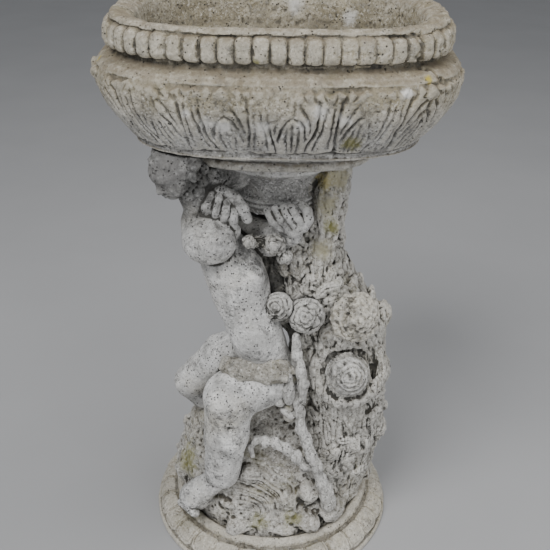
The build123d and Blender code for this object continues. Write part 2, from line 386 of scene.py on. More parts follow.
def weather(points, quads, grain=0.35, wear=0.6, seed=1, pits=0.5):
    """Erodes a surface: broad wear, grain, and small pits, along its normals."""
    normals = vertex_normals(points, quads)
    shift = wear * fractal(points, 22.0, 2, seed)
    shift += grain * fractal(points, 6.0, 2, seed + 5)
    pitted = smooth_step(0.42, 0.62, noise(points, 4.2, seed + 9))
    shift -= pits * pitted
    return points + normals * shift[:, None]


# ---- turned pieces


def oval_point(angle, half_width):
    """Places on the rounded oval of a half-width; it is a circle near the axis."""
    outness = smooth_step(60.0, 150.0, half_width)
    ratio = 1 + (OVAL_RATIO - 1) * outness
    power = 2 + (OVAL_POWER - 2) * outness
    cosine = np.cos(angle)
    sine = np.sin(angle)
    x = np.sign(cosine) * np.abs(cosine) ** (2 / power) * half_width
    y = np.sign(sine) * np.abs(sine) ** (2 / power) * half_width * ratio
    return x, y


def even_angles(count, half_width):
    """Angles that put `count` places at equal distances round the oval."""
    dense = np.linspace(0, 2 * math.pi, 20001)
    x, y = oval_point(dense, np.full_like(dense, half_width))
    run = np.concatenate([[0], np.cumsum(np.hypot(np.diff(x), np.diff(y)))])
    return np.interp(np.arange(count) / count * run[-1], run, dense)


def stepped(half, height, steps):
    """Profile points, each given as how far out and up it lies from (half, height)."""
    return [(half + out, height + up) for out, up in steps]


def resample(outline, step):
    """Points along a profile of (half_width, height), no further than `step` apart."""
    out = []
    for (a, za), (b, zb) in zip(outline, outline[1:]):
        parts = max(1, int(math.ceil(math.hypot(b - a, zb - za) / step)))
        for part in range(parts):
            share = part / parts
            out.append((a + (b - a) * share, za + (zb - za) * share))
    out.append(outline[-1])
    return np.array(out, np.float32)


def soften(profile, rounds, keep):
    """Rounds a profile's corners, leaving the rows where `keep` is true."""
    for _ in range(rounds):
        middle = (profile[:-2] + 2 * profile[1:-1] + profile[2:]) / 4
        inner = keep[1:-1, None]
        profile[1:-1] = np.where(inner, profile[1:-1], middle)
    return profile


def turned(profile, columns, relief=None, oval=False):
    """Rings round the axis, one for each profile point, pushed out by relief(turn, grid) on the
    way up to the highest one.

    Returns points and quads, and a cap for each end.
    """
    rows = len(profile)
    half = np.tile(profile[:, :1], (1, columns))
    if oval:
        angle = np.tile(even_angles(columns, float(profile[:, 0].max())), (rows, 1))
        x, y = oval_point(angle, half)
    else:
        angle = np.tile(np.arange(columns) / columns * 2 * math.pi, (rows, 1))
        x, y = half * np.cos(angle), half * np.sin(angle)
    z = np.tile(profile[:, 1:2], (1, columns))
    grid = np.stack([x, y, z], -1)
    if relief:
        around = np.roll(grid, -1, 1) - np.roll(grid, 1, 1)
        normal = np.cross(around, np.gradient(grid, axis=0))
        normal /= np.linalg.norm(normal, axis=2, keepdims=True) + 1e-9
        turn = np.tile(np.arange(columns) / columns, (rows, 1))
        outer = np.arange(rows)[:, None] <= int(profile[:, 1].argmax())
        grid = grid + normal * (relief(turn, grid) * outer)[..., None]
    points = grid.reshape(-1, 3).astype(np.float32)
    row, column = np.meshgrid(np.arange(rows - 1), np.arange(columns), indexing="ij")
    here, beside = row * columns + column, row * columns + (column + 1) % columns
    quads = np.stack([here, beside, beside + columns, here + columns], -1).reshape(-1, 4)
    caps = [np.arange(columns)[::-1], np.arange(columns) + (rows - 1) * columns]
    return points, quads, caps


# ---- carved patterns


TILE_HALF_WIDTH = 41.0
TILE_HEIGHT = 78.0

# Cuts between a leaf's lobes, on one half of it: u 0 is its middle, u 1 the middle of the tongue
# beside it, v 0 its foot and v 1 its tip. The last number is how deep each is cut.
LEAF_CUTS = (
    ([(0.0, 0.62), (0.0, 0.82)], 1.0), ([(0.0, 0.62), (0.2, 0.54), (0.36, 0.4), (0.46, 0.22)], 1.25),
    ([(0.16, 0.78), (0.36, 0.66), (0.5, 0.48), (0.56, 0.34)], 1.0), ([(0.0, 0.5), (0.0, 0.06)], 0.8),
    ([(0.17, 0.44), (0.22, 0.24), (0.15, 0.05)], 0.8),
    ([(0.68, 0.84), (0.72, 0.58), (0.7, 0.32), (0.5, 0.04)], 1.35),
    ([(0.9, 0.74), (0.87, 0.42), (0.76, 0.08)], 0.9), ([(0.22, 0.97), (0.22, 0.9), (0.36, 0.84)], 1.0),
    ([(0.54, 0.97), (0.54, 0.88), (0.66, 0.8)], 0.9), ([(0.82, 0.97), (0.82, 0.9), (0.92, 0.82)], 0.8),
)


def leaf_tile():
    """The height of one acanthus leaf and half a tongue each side, as puffed lobes between cuts."""
    size = 300
    v, u = np.meshgrid(np.linspace(0, 1, size), np.linspace(-1, 1, size), indexing="ij")
    side = np.abs(u)
    height = np.ones(u.shape)
    for path, depth in LEAF_CUTS:
        nearest = np.full(u.shape, 99.0)
        share = np.zeros(u.shape)
        pieces = len(path) - 1
        for step, (a, b) in enumerate(zip(path, path[1:])):
            ax, ay = (b[0] - a[0]) * TILE_HALF_WIDTH, (b[1] - a[1]) * TILE_HEIGHT
            px, py = (side - a[0]) * TILE_HALF_WIDTH, (v - a[1]) * TILE_HEIGHT
            part = np.clip((px * ax + py * ay) / (ax * ax + ay * ay), 0, 1)
            distance = np.hypot(px - part * ax, py - part * ay)
            closer = distance < nearest
            nearest = np.where(closer, distance, nearest)
            share = np.where(closer, (step + part) / pieces, share)
        taper = 0.45 + 0.55 * np.sin(math.pi * np.clip(share * 0.84 + 0.08, 0, 1))
        cut = np.exp(-((nearest / 1.55) ** 2)) + 0.42 * np.exp(-((nearest / 5.0) ** 2))
        height = np.minimum(height, 1 - depth * taper * cut)
    for centre, size_mm, rise in ((0.0, 10.0, 1.0), (0.38, 8.0, 0.7), (0.68, 6.5, 0.5), (1.0, 9.0, 0.8)):
        away = np.hypot((side - centre) * TILE_HALF_WIDTH, (v - 0.9) * TILE_HEIGHT)
        height = height + rise * np.sqrt(np.clip(1 - (away / size_mm) ** 2, 0, 1))
    scallop = 0.985 - 0.05 * np.abs(np.sin(side * math.pi * 2.5))
    inside = smooth_step(0.0, 0.03, v) * (1 - smooth_step(scallop - 0.035, scallop, v))
    return height * inside


def sample_tile(tile, u, v):
    """Reads a tile at u -1..1 and v 0..1, blended between its cells."""
    rows, columns = tile.shape
    fx = np.clip((u + 1) / 2 * (columns - 1), 0, columns - 1.001)
    fy = np.clip(v * (rows - 1), 0, rows - 1.001)
    ix, iy = fx.astype(int), fy.astype(int)
    px, py = fx - ix, fy - iy
    low = tile[iy, ix] * (1 - px) + tile[iy, ix + 1] * px
    high = tile[iy + 1, ix] * (1 - px) + tile[iy + 1, ix + 1] * px
    return low * (1 - py) + high * py


# ---- the basin

LEAVES = 17
BEADS = 66
BELLY_RUN = 1430  # round the belly, roughly
FRONT_LEAF = 0.75 + 19.0 / BELLY_RUN  # a leaf's middle stands at the front, 19 mm to the right
LEDGE = SEAT + 40
BELLY_LINE = SEAT + 121
LEAF_TOP = SEAT + 133
SHOULDER = SEAT + 141
BAND_FOOT = SEAT + 155
BAND_HEAD = RIM - 8
LEDGE_HALF = BELLY - 45
BAND_HALF = BELLY - 15
ROLL_HALF = BELLY - 104
MOUTH_HALF = BELLY - 56
FLOOR = SEAT + 76


def belly_half(z):
    part_way = (BELLY_LINE - z) / (BELLY_LINE - LEDGE)
    return LEDGE_HALF + (BELLY - LEDGE_HALF) * math.cos(math.pi / 2 * part_way)


def basin_profile():
    """From the dowel hole, out under the foot, up the belly and rim, and down into the bowl."""
    outline = stepped(0, SEAT, [(1.0, 33), (9.5, 33), (9.5, 0.4)])
    foot = [(-9, 0.4), (-1, 3), (0, 7), (-2, 11), (-5, 13), (-4, 15), (12, 19), (15, 22), (17, 22)]
    outline += stepped(ROLL_HALF, SEAT, foot)
    ledge = [(-9, 31), (-3, 32.5), (0, 34.5), (-2.5, 36.2), (-1, 38), (-1.5, 40)]
    outline += stepped(LEDGE_HALF, SEAT, ledge)
    outline += [(belly_half(z), z) for z in np.linspace(LEDGE + 4, BELLY_LINE, 9)]
    outline += stepped(BELLY, BELLY_LINE, [(-0.5, 6), (-3, 13)])
    outline += stepped(BELLY, SHOULDER, [(-9, 0)])
    outline += stepped(BAND_HALF, SHOULDER, [(-8, 5), (-11, 8)])
    outline += stepped(BAND_HALF, BAND_FOOT, [(-11, -4), (-8, -1), (-2, 1), (0, 8)])
    outline += stepped(BAND_HALF, BAND_HEAD, [(-0.5, -8), (-3, -2), (-7, 0)])
    outline += stepped(BAND_HALF, RIM, [(-7.5, -5), (-9, -1.5), (-14, 0), (-24, -1)])
    outline += stepped(MOUTH_HALF, RIM, [(9, -3), (3, -8), (1, -20), (2, -48)])
    outline += stepped(MOUTH_HALF, FLOOR, [(-3, 44), (-14, 24), (-38, 9), (-80, 2)])
    outline.append((1.0, FLOOR))
    profile = resample(outline, TURN_STEP)
    keep = (profile[:, 0] < 14) | (profile[:, 1] < SEAT + 0.5)
    return soften(profile, 2, keep)


def basin_relief(turn, grid):
    """Leaves on the belly and beads on the band, worn unevenly."""
    z = grid[..., 2]
    half = np.hypot(grid[..., 0], grid[..., 1])
    flat = grid.reshape(-1, 3).astype(np.float32)

    def field(size, octaves, seed):
        return fractal(flat, size, octaves, seed).reshape(z.shape)

    place = (turn - FRONT_LEAF) * LEAVES
    u = (place - np.round(place)) * 2
    v = (z - (LEDGE + 2)) / (LEAF_TOP - LEDGE - 2)
    on_belly = (v > 0) & (v < 1) & (half > ROLL_HALF * OVAL_RATIO)
    warp = 0.045 * field(18.0, 2, 8)
    lean = 0.04 * field(22.0, 2, 9)
    leaves = sample_tile(leaf_tile(), np.clip(u + warp, -1, 1), np.clip(v + lean, 0, 1))
    wear = np.clip(0.6 + 0.95 * field(38.0, 3, 3), 0.08, 1.0)
    lift = np.where(on_belly, (leaves - 0.6) * 4.6 * wear, 0)

    number = np.floor(turn * BEADS)
    zero = np.zeros_like(number)
    draw = lattice(number, zero, zero, 5)
    bead = ((turn * BEADS - number) * 2 - 1) * (0.95 + 0.14 * draw)
    rise = (z - (BAND_FOOT - 3)) / (BAND_HEAD + 2 - BAND_FOOT + 3) * 2 - 1 + 0.12 * (draw - 0.5)
    across = np.clip(1 - np.abs(bead) ** 2.8, 0, 1) ** 0.55
    upright = np.clip(1 - np.abs(rise) ** 4, 0, 1) ** 0.6
    on_band = (np.abs(rise) < 1) & (z > SHOULDER + 8)
    worn = np.clip(0.85 + 0.5 * field(44.0, 2, 21) - 0.25 * smooth_step(110, 190, grid[..., 0]), 0.3, 1.1)
    return np.where(on_band, (across * upright - 0.72) * 6.6 * worn, lift)


CRACK = [
    (158, -142, 840), (167, -144, 824), (162, -148, 811), (170, -131, 796), (183, -135, 790),
    (194, -139, 781), (196, -142, 768),
]


def along_crack(points):
    """Distance of each point from the crack down the rim's corner."""
    nearest = np.full(len(points), 99.0)
    for a, b in zip(CRACK, CRACK[1:]):
        a, b = np.array(a, float), np.array(b, float)
        run = b - a
        share = np.clip((points - a) @ run / (run @ run), 0, 1)
        away = np.linalg.norm(points - a - share[:, None] * run, axis=1)
        nearest = np.minimum(nearest, away)
    return nearest


def make_basin(material):
    profile = basin_profile()
    columns = int(BELLY_RUN / TURN_STEP / 2) * 2
    points, quads, caps = turned(profile, columns, basin_relief, oval=True)
    across = np.hypot(points[:, 0], points[:, 1] / OVAL_RATIO)
    in_bowl = (points[:, 2] > FLOOR - 5) & (across < MOUTH_HALF + 6)
    body = weather(points, quads, 0.3, 0.7, 31, 0.7)
    rough = 1.2 * fractal(points, 9.0, 3, 44)[:, None] - 0.2
    inside = points + vertex_normals(points, quads) * rough
    jagged = along_crack(points + 5 * noise(points, 9.0, 48)[:, None])
    cornered = smooth_step(100, 180, points[:, 0]) * smooth_step(SHOULDER, BAND_FOOT, points[:, 2])
    rough = 1.3 * fractal(points, 8.0, 3, 57) * cornered - 4.2 * np.exp(-((jagged / 3.0) ** 2))
    body = body + vertex_normals(points, quads) * rough[:, None]
    chipped = smooth_step(RIM - 9, RIM - 5, points[:, 2]) * fractal(points, 13.0, 3, 52)
    body[:, 2] -= 1.6 * np.maximum(chipped, -0.2)
    foot = points[:, 2] < SEAT + 1
    mixed = np.where(in_bowl[:, None], inside, body)
    points = np.where(foot[:, None], points, mixed)
    make_piece("basin_casting", points, quads, ["basin"], material, caps, "basin")


# ---- neck and plinth


def make_neck(material):
    torus = NECK_FOOT + 10
    outline = [(1.0, NECK_FOOT), (58, NECK_FOOT)]
    mouldings = [(59, -3), (61, 0), (63.5, 2), (63.5, 4), (60.5, 6), (60.5, 7), (63, 9), (63, 11)]
    outline += stepped(0, torus, mouldings + [(59, 13), (57.5, 16)])
    cove = [(57.5, -44), (60, -37), (66, -28), (76, -19), (91, -11), (92, -1)]
    outline += stepped(0, SEAT, cove + [(91, -0.3), (1.0, -0.3)])
    profile = resample(outline, TURN_STEP)
    profile = soften(profile, 2, profile[:, 1] > SEAT - 0.5)
    columns = int(2 * math.pi * 64 / TURN_STEP)
    points, quads, caps = turned(profile, columns)
    level_top = points[:, 2] > SEAT - 0.6
    worn = weather(points, quads, 0.3, 0.5, 61, 0.3)
    points = np.where(level_top[:, None], points, worn)
    make_piece("neck_turning", points, quads, ["neck_capital"], material, caps)


PLINTH_LEAVES = 30
BED = RING_TOP - 8
RING_OUT = PLINTH_RADIUS - 36


def plinth_relief(turn, grid):
    """Overlapping square leaves with a double outline round the sloping band."""
    half = np.hypot(grid[..., 0], grid[..., 1])
    z = grid[..., 2]
    flat = grid.reshape(-1, 3).astype(np.float32)
    place = turn * PLINTH_LEAVES
    u = (place - np.floor(place)) * 2 - 1
    v = (half - (RING_OUT + 8)) / (PLINTH_RADIUS - 3 - RING_OUT - 8)
    drop = np.clip((BED - 4 - z) / 22.0, 0, 1)
    v = np.clip(0.55 * v + 0.45 * drop, 0, 1)
    on_band = (half > RING_OUT + 6) & (z > 10) & (z < BED - 3)
    edge = np.abs(u) ** 4 + np.abs(v * 1.02) ** 6
    body = smooth_step(1.0, 0.8, edge)
    inner = np.exp(-(((edge - 0.42) / 0.13) ** 2))
    worn = np.clip(0.7 + 0.35 * fractal(flat, 42.0, 2, 71).reshape(z.shape), 0.2, 1.05)
    lift = (body * 3.8 - inner * 1.8 + 1.2 * u * body - 2.0) * worn
    return np.where(on_band, lift, 0)


def make_plinth(material):
    outline = [(1.0, 0.0)] + stepped(PLINTH_RADIUS, 0, [(-1.5, 0), (0, 1.5), (0, 7), (-2, 9)])
    steps = 10
    for step in range(steps + 1):
        swing = math.pi / 2 * step / steps
        half = RING_OUT + 9 + (PLINTH_RADIUS - 4 - RING_OUT - 9) * math.cos(swing)
        outline.append((half, 10 + (BED - 15) * math.sin(swing)))
    outline += stepped(RING_OUT, BED, [(4, -6), (1, -3)])
    outline += stepped(RING_OUT, RING_TOP, [(0, -4), (-3, 0), (-10, 0), (-14, -4)])
    outline += [(RING_OUT - 17, BED), (1.0, BED)]
    profile = resample(outline, TURN_STEP)
    profile = soften(profile, 2, profile[:, 1] < 1)
    columns = int(2 * math.pi * PLINTH_RADIUS / TURN_STEP)
    points, quads, caps = turned(profile, columns, plinth_relief)
    worn = weather(points, quads, 0.35, 0.7, 81, 0.5)
    level = points[:, 2] < 2
    points = np.where(level[:, None], points, worn)
    points[:, 2] = np.maximum(points[:, 2], 0)
    make_piece("plinth_casting", points, quads, ["plinth"], material, caps)


# ---- the putto


def head_axes(facing):
    """Forward, side and up directions of a head that looks along `facing`."""
    forward = np.array(facing) / np.linalg.norm(facing)
    up = np.array([0, 0, 1.0]) - forward[2] * forward
    up /= np.linalg.norm(up)
    return forward, np.cross(up, forward), up


HEAD_AT = (-132.0, -96.0, 651.0)
HEAD_SIZE = 0.92
HEAD_FACING = (-0.66, -0.58, -0.48)
NAPE_CURLS = (
    (-112, -102, 628), (-106, -100, 642), (-97, -94, 648), (-99, -97, 632), (-88, -88, 642),
    (-116, -106, 616), (-104, -101, 620), (-78, -80, 634), (-72, -70, 624),
)


def sculpt_head(clay):
    """A calm child's head of plain proportions, bowed under the basin, with drilled curls."""
    forward, side, up = head_axes(HEAD_FACING)
    axes = np.array([forward, side, up])

    def at(f, s, u):
        return np.array(HEAD_AT) + (forward * f + side * s + up * u) * HEAD_SIZE

    def ball(f, s, u, radii, soft, carve=False):
        clay.lump(at(f, s, u), np.array(radii) * HEAD_SIZE, axes, soft, carve)

    ball(-4, 0, 6, (40, 35, 35), 4)
    ball(12, 0, -10, (27, 28, 29), 8)
    ball(27, 0, -31, (8, 9, 7), 6)
    ball(22, 0, 9, (17, 25, 15), 8)
    for hand in (-1, 1):
        ball(22, 14 * hand, -16, (12, 12, 12), 6)
        ball(38, 11.5 * hand, -3, (7, 8, 5), 4, True)
        ball(29.5, 11.5 * hand, -4, (7.5, 7.5, 6), 1.5)
        clay.limb(at(36, 5 * hand, -1), at(34, 18 * hand, -1), 1.5, 1.1, 2)
    clay.limb(at(37, 0, -2), at(42, 0, -13), 2.6, 4.0, 4)
    ball(37, 0, -22, (4, 7, 2.1), 1.5)
    ball(36, 0, -26.3, (4, 5.4, 2.4), 1.5)
    for hand in (-1, 1):
        ball(39, 4.2 * hand, -14, (3, 2.6, 2.6), 2)
        ball(-1, 34 * hand, -8, (6, 4, 10), 2)
        ball(0, 38 * hand, -8, (3, 2, 5), 1, True)
    draw = np.random.default_rng(7)
    curls = 74
    for turn in range(curls):
        height = 1 - 2 * (turn + 0.5) / curls
        swing = turn * GOLDEN_ANGLE
        flat = math.sqrt(1 - height * height)
        f, s, u = flat * math.cos(swing), flat * math.sin(swing), height
        if f > 0.38 and u < 0.4:
            continue
        if u < -0.6 or (u < -0.25 and f > -0.05):
            continue
        spot = at(-4 + 39 * f, 34 * s, 6 + 34 * u)
        normal = forward * f + side * s + up * u
        size = 6.2 + draw.uniform(-1.0, 1.2)
        clay.lump(spot - normal * 1.5, (size, size, size * 0.95), axes, 1.2)
        clay.ring(spot + normal * size * 0.62, normal, size * 0.55, 1.6, 0.6, carve=True)
    # loose curls at the nape, down to the raised hand
    for x, y, z in NAPE_CURLS:
        clay.lump((x, y, z), (9.5, 9, 9), None, 1.5)
        clay.ring((x - 1, y - 7.5, z + 3), (-0.1, -0.9, 0.4), 4.6, 1.8, 0.6, carve=True)


def sculpt_hand(clay, fingers, palm, thumb):
    """A gripping hand seen from its back: bent fingers side by side, a palm and a thumb."""
    for start, middle, tip, radius in fingers:
        clay.limb(start, middle, radius, radius * 0.97, 0.6)
        clay.limb(middle, tip, radius * 0.97, radius * 0.9, 0.5)
        clay.lump(middle, (radius * 1.04,) * 3, None, 1.5)
    clay.chain(palm, 2)
    clay.chain(thumb, 1.2)
    for first, second in zip(fingers, fingers[1:]):
        middles = [(np.array(a) + np.array(b)) / 2 for a, b in zip(first[:3], second[:3])]
        out = np.array([0, -first[3] * 0.92, 0])
        clay.limb(middles[0] + out, middles[1] + out, 0.9, 1.6, 1.0, carve=True)
        clay.limb(middles[1] + out, middles[2] + out * 0.9, 1.6, 1.5, 1.0, carve=True)


LEFT_FINGERS = [
    ((-92, -102, 586), (-92, -106, 598), (-88, -92, 610), 7.8),
    ((-81, -105, 581), (-80.5, -109, 594), (-77, -94, 607), 8.0),
    ((-70, -106, 575), (-69, -110, 588), (-66.5, -94, 602), 8.0),
    ((-59, -104, 569), (-58, -108, 582), (-56, -93, 595), 7.6),
]
LEFT_PALM = [(-88, -96, 575, 14), (-74, -99, 567, 16), (-61, -98, 561, 14)]
LEFT_THUMB = [
    (-94, -82, 610, 9.0), (-74, -85, 613, 9.4), (-55, -92, 605, 9.0), (-45, -97, 593, 8.4),
    (-39, -99, 580, 7.4),
]
RIGHT_FINGERS = [
    ((7, -94, 566), (-4, -98, 577), (-12, -86, 586), 6.8),
    ((17, -97, 566), (7, -101, 579), (-1, -88, 590), 7.2),
    ((27, -98, 567), (18, -101, 581), (10, -89, 592), 7.2),
    ((35, -96, 569), (28, -99, 581), (21, -89, 593), 6.6),
]
RIGHT_PALM = [(12, -91, 564, 8), (24, -94, 561, 9.5), (35, -91, 565, 9)]
RIGHT_THUMB = [(38, -93, 567, 8.4), (44, -94, 578, 7.8), (42, -90, 589, 7.4), (35, -86, 596, 6.6)]


def make_putto(material):
    clay = Clay((-188, -170, 50), (76, 24, 684), VOXEL)
    torso = [
        (-12, -60, 318, 38, 36), (-16, -72, 345, 41, 40), (-22, -80, 375, 40, 42),
        (-32, -80, 405, 41, 40), (-46, -78, 440, 42, 39), (-54, -76, 475, 46, 39),
        (-64, -74, 508, 44, 37), (-80, -74, 536, 38, 34), (-98, -74, 566, 27, 28),
        (-104, -78, 586, 22, 23),
    ]
    clay.column(torso, 8, 16)
    clay.lump((-30, -106, 398), (27, 16, 26), None, 16)
    clay.lump((-66, -100, 492), (24, 14, 22), None, 14)
    clay.lump((-34, -98, 490), (18, 14, 20), None, 14)
    clay.limb((-116, -88, 622), (-88, -74, 560), 21, 28, 10)
    clay.chain([(-68, -112, 376, 1.8), (-36, -125, 362, 2.0), (0, -118, 356, 1.8)], 6, True)
    clay.limb((-104, -82, 636), (-58, -46, 626), 19, 24, 8)
    sculpt_head(clay)
    # left arm, raised, its bent elbow towards the front
    clay.limb((-104, -72, 560), (-93, -106, 552), 28, 35, 8)
    clay.limb((-83, -109, 554), (-76, -98, 568), 33, 23, 6)
    clay.chain([(-118, -128, 578, 2.0), (-100, -141, 579, 3.0), (-76, -136, 572, 1.8)], 4, True)
    sculpt_hand(clay, LEFT_FINGERS, LEFT_PALM, LEFT_THUMB)
    # right arm, behind the flowers, with its hand on the neck
    clay.chain([(-50, -22, 532, 27), (-8, -50, 528, 24), (22, -74, 546, 16)], 8)
    sculpt_hand(clay, RIGHT_FINGERS, RIGHT_PALM, RIGHT_THUMB)
    # left leg, bent over the boulder, and its foot
    clay.limb((-2, -76, 308), (-62, -108, 294), 43, 39, 10)
    clay.limb((-66, -112, 290), (-70, -116, 226), 38, 33, 10)
    clay.limb((-70, -116, 226), (-78, -115, 152), 33, 28, 8)
    clay.lump((-76, -134, 300), (20, 14, 20), None, 14)
    clay.chain([(-64, -148, 262, 1.6), (-42, -146, 256, 2.0), (-26, -134, 262, 1.6)], 5, True)
    clay.limb((-88, -108, 128), (-112, -106, 104), 18, 22, 6)
    clay.lump((-122, -108, 92), (27, 24, 24), None, 6)
    for toe in range(5):
        clay.lump((-144 + toe * 5.5, -112 - toe * 5.0, 80 - toe * 0.8), (8.5, 6.5, 7), None, 1)
    # right leg, lifted, its knee to the side
    clay.chain([(-36, -54, 350, 34), (-80, -45, 326, 30), (-130, -36, 270, 26)], 10)
    clay.chain([(-130, -36, 266, 26), (-112, -30, 236, 22)], 8)
    clay.clear_basin()
    clay.make("putto_figure", PUTTO_NODES, material, (0.26, 0.6, 101, 0.55))


PUTTO_PARTS = ("head", "torso", "left_arm", "right_arm", "left_hand", "right_hand", "left_leg")
PUTTO_NODES = ["putto_" + part for part in PUTTO_PARTS + ("right_leg", "left_foot")]


def make_drapery(material):
    """Cloth gathered in the lap, with a bunched end hanging beside the thigh."""
    clay = Clay((-110, -160, 236), (62, 0, 386), VOXEL)
    draw = np.random.default_rng(23)
    lap = [(-66, -94, 335, 15), (-40, -108, 340, 17), (-8, -108, 339, 18), (20, -98, 324, 15)]
    clay.chain(lap, 8)
    for _ in range(20):
        share = draw.uniform(0, 1)
        x = -72 + 96 * share
        bow = math.sin(math.pi * share)
        start = np.array([x, -100 - 15 * bow, 350 + draw.uniform(-8, 4)])
        run = np.array([draw.uniform(-20, 26), draw.uniform(-10, -4), draw.uniform(-20, -8)])
        clay.limb(start, start + run, 5.0, 3.0, 8)
    for lump in range(9):
        spot = (24 + draw.uniform(-9, 9), -100 + draw.uniform(-8, 4), 318 - lump * 8)
        clay.lump(spot, (11, 9, 8), None, 2)
    clay.make("hip_cloth", ["hip_drapery"], material, (0.4, 1.3, 131, 0.5))


# ---- tree, flowers and ground

STUB_AT = (113, -92, 322)
STUB_FACING = (0.1, -1, 0.45)
TRUNK = [
    (96, 8, 42, 62, 94), (104, 4, 110, 72, 90), (110, 0, 200, 76, 84), (106, 0, 300, 74, 80),
    (96, 0, 370, 80, 79), (70, 4, 430, 66, 74), (42, 6, 480, 61, 70), (38, 8, 510, 61, 66),
    (38, 10, 548, 62, 62), (42, 12, 574, 60, 50), (44, 10, 610, 58, 46), (44, 4, 646, 60, 44),
]


def level_at(sections, z):
    """The centre and half-widths of a column's sections at a height."""
    table = np.array(sections, float)
    return [float(np.interp(z, table[:, 2], table[:, i])) for i in (0, 1, 3, 4)]


def side_spot(sections, z, angle, sink=0):
    """A place on a column's side, or `sink` in from it, at a height and a bearing."""
    cx, cy, hx, hy = level_at(sections, z)
    return (cx + (hx - sink) * math.cos(angle), cy + (hy - sink) * math.sin(angle), z)


def wandered(points, reach, size, seed):
    """The points pushed about by noise, for bending a pattern."""
    return points + reach * np.stack([noise(points, size, seed + i) for i in range(3)], 1)


def leaf(clay, spot, out, direction, size, cut=True):
    """A small pointed leaf lying on a surface, with a sunk midrib."""
    out = out / np.linalg.norm(out)
    along = direction - out * (direction @ out)
    along /= np.linalg.norm(along)
    across = np.cross(out, along)
    axes = np.array([along, across, out])
    clay.lump(spot, (size, size * 0.58, size * 0.42), axes, 1.0)
    if cut:
        tip = spot + along * size * 0.8 + out * size * 0.32
        clay.limb(spot - along * size * 0.6 + out * size * 0.42, tip, 1.3, 1.0, 0.8, carve=True)


def trunk_leaves(clay, draw, count, low, high, span, sizes):
    """Scatters leaves over the trunk between two heights and two bearings."""
    for _ in range(count):
        z = draw.uniform(low, high)
        angle = draw.uniform(*span)
        _, _, hx, hy = level_at(TRUNK, z)
        out = np.array([math.cos(angle) / hx, math.sin(angle) / hy, 0.0])
        out /= np.linalg.norm(out)
        spot = np.array(side_spot(TRUNK, z, angle)) + out * draw.uniform(-4, 2)
        near_strip = math.exp(-(((spot[0] - 74) / 20) ** 2)) * (spot[1] < 0) * (z > 450)
        spot = spot + out * (8 + 8 * (z > 560)) * near_strip
        tilt = [draw.uniform(-1, 1), draw.uniform(-0.3, 0.3), draw.uniform(-1.2, 0.5)]
        leaf(clay, spot, out, np.array(tilt), draw.uniform(*sizes), z < 560)


def bark(points):
    """Upright strokes, coarser on the lower trunk."""
    lower = 1 - smooth_step(380, 450, points[:, 2])
    warp = wandered(points, 9, 30.0, 61)
    fine = np.minimum(np.abs(noise(warp, (5.0, 5.0, 24.0), 5)) * 3.0, 1)
    broad = np.minimum(np.abs(noise(warp, (9.0, 9.0, 34.0), 6)) * 3.0, 1)
    return (0.45 * fine + 0.55 * broad - 0.8) * (2.4 + 1.0 * lower)


def make_trunk(material):
    clay = Clay((-50, -116, 36), (206, 112, 652), VOXEL)
    clay.column(TRUNK, 6)
    draw = np.random.default_rng(41)
    for _ in range(30):
        z = draw.uniform(60, 420)
        angle = draw.uniform(-math.pi, math.pi)
        clay.lump(side_spot(TRUNK, z, angle, 3), (14, 14, draw.uniform(14, 30)), None, 9)
    # the leafy strip that climbs beside the neck
    clay.chain([(62, -50, 470, 20), (66, -46, 530, 19), (72, -38, 590, 16), (82, -34, 628, 19)], 9)
    # foliage that closes the hollow between the figure's back and the trunk
    clay.chain([(8, -34, 400, 22), (2, -24, 450, 24), (0, -18, 500, 26)], 8)
    clay.chain([(4, -74, 412, 9), (-2, -70, 450, 13), (-3, -66, 490, 14), (-8, -64, 512, 10)], 6, True)
    front = (-2.6, -0.3)
    trunk_leaves(clay, draw, 90, 395, 560, front, (12, 21))
    trunk_leaves(clay, draw, 40, 545, 636, (-1.25, -0.1), (8, 12))
    trunk_leaves(clay, draw, 110, 380, 636, (-0.3, 3.7), (9, 16))
    trunk_leaves(clay, draw, 60, 60, 400, (-2.3, 0.6), (11, 19))
    for _ in range(14):
        spread = draw.uniform(-17, 17)
        ribbon = []
        for z in (470, 510, 550, 590, 634):
            x = np.interp(z, (470, 530, 590, 634), (62, 68, 73, 84)) + spread + draw.uniform(-6, 6)
            y = np.interp(z, (470, 530, 590, 634), (-68, -62, -53, -50)) + abs(spread) * 0.5
            ribbon.append((x, y + draw.uniform(-3, 2), z, draw.uniform(3.2, 5.0)))
        clay.chain(ribbon, 1.5)
    # a swelling with a groove for the sawn stub, and the upright crease on the right
    around = np.array(boss_axes(STUB_FACING))
    clay.lump((113, -78, 322), (17, 60, 60), around, 14)
    clay.ring(STUB_AT, STUB_FACING, 38.5, 5, 2, carve=True)
    clay.chain([(150, -72, 400, 4), (152, -78, 340, 6), (150, -82, 250, 6), (146, -80, 170, 5)], 5, True)
    nodes = ["tree_trunk", "column_leaves"]
    wear = (0.9, 1.4, 151, 0.6)
    clay.make("tree_trunk_bark", nodes, material, wear, bark, 36, SEAT - 0.8)


def boss_axes(direction):
    out = np.array(direction, float)
    out /= np.linalg.norm(out)
    across = np.cross([0, 0, 1.0], out)
    across /= np.linalg.norm(across)
    return out, across, np.cross(out, across)


def boss_frame(points, centre, direction):
    """Distance from a boss's axis, angle round it and height along it, for each point."""
    out, across, up = boss_axes(direction)
    local = points - np.array(centre)
    a, b, height = local @ across, local @ up, local @ out
    return np.hypot(a, b), np.arctan2(b, a), height


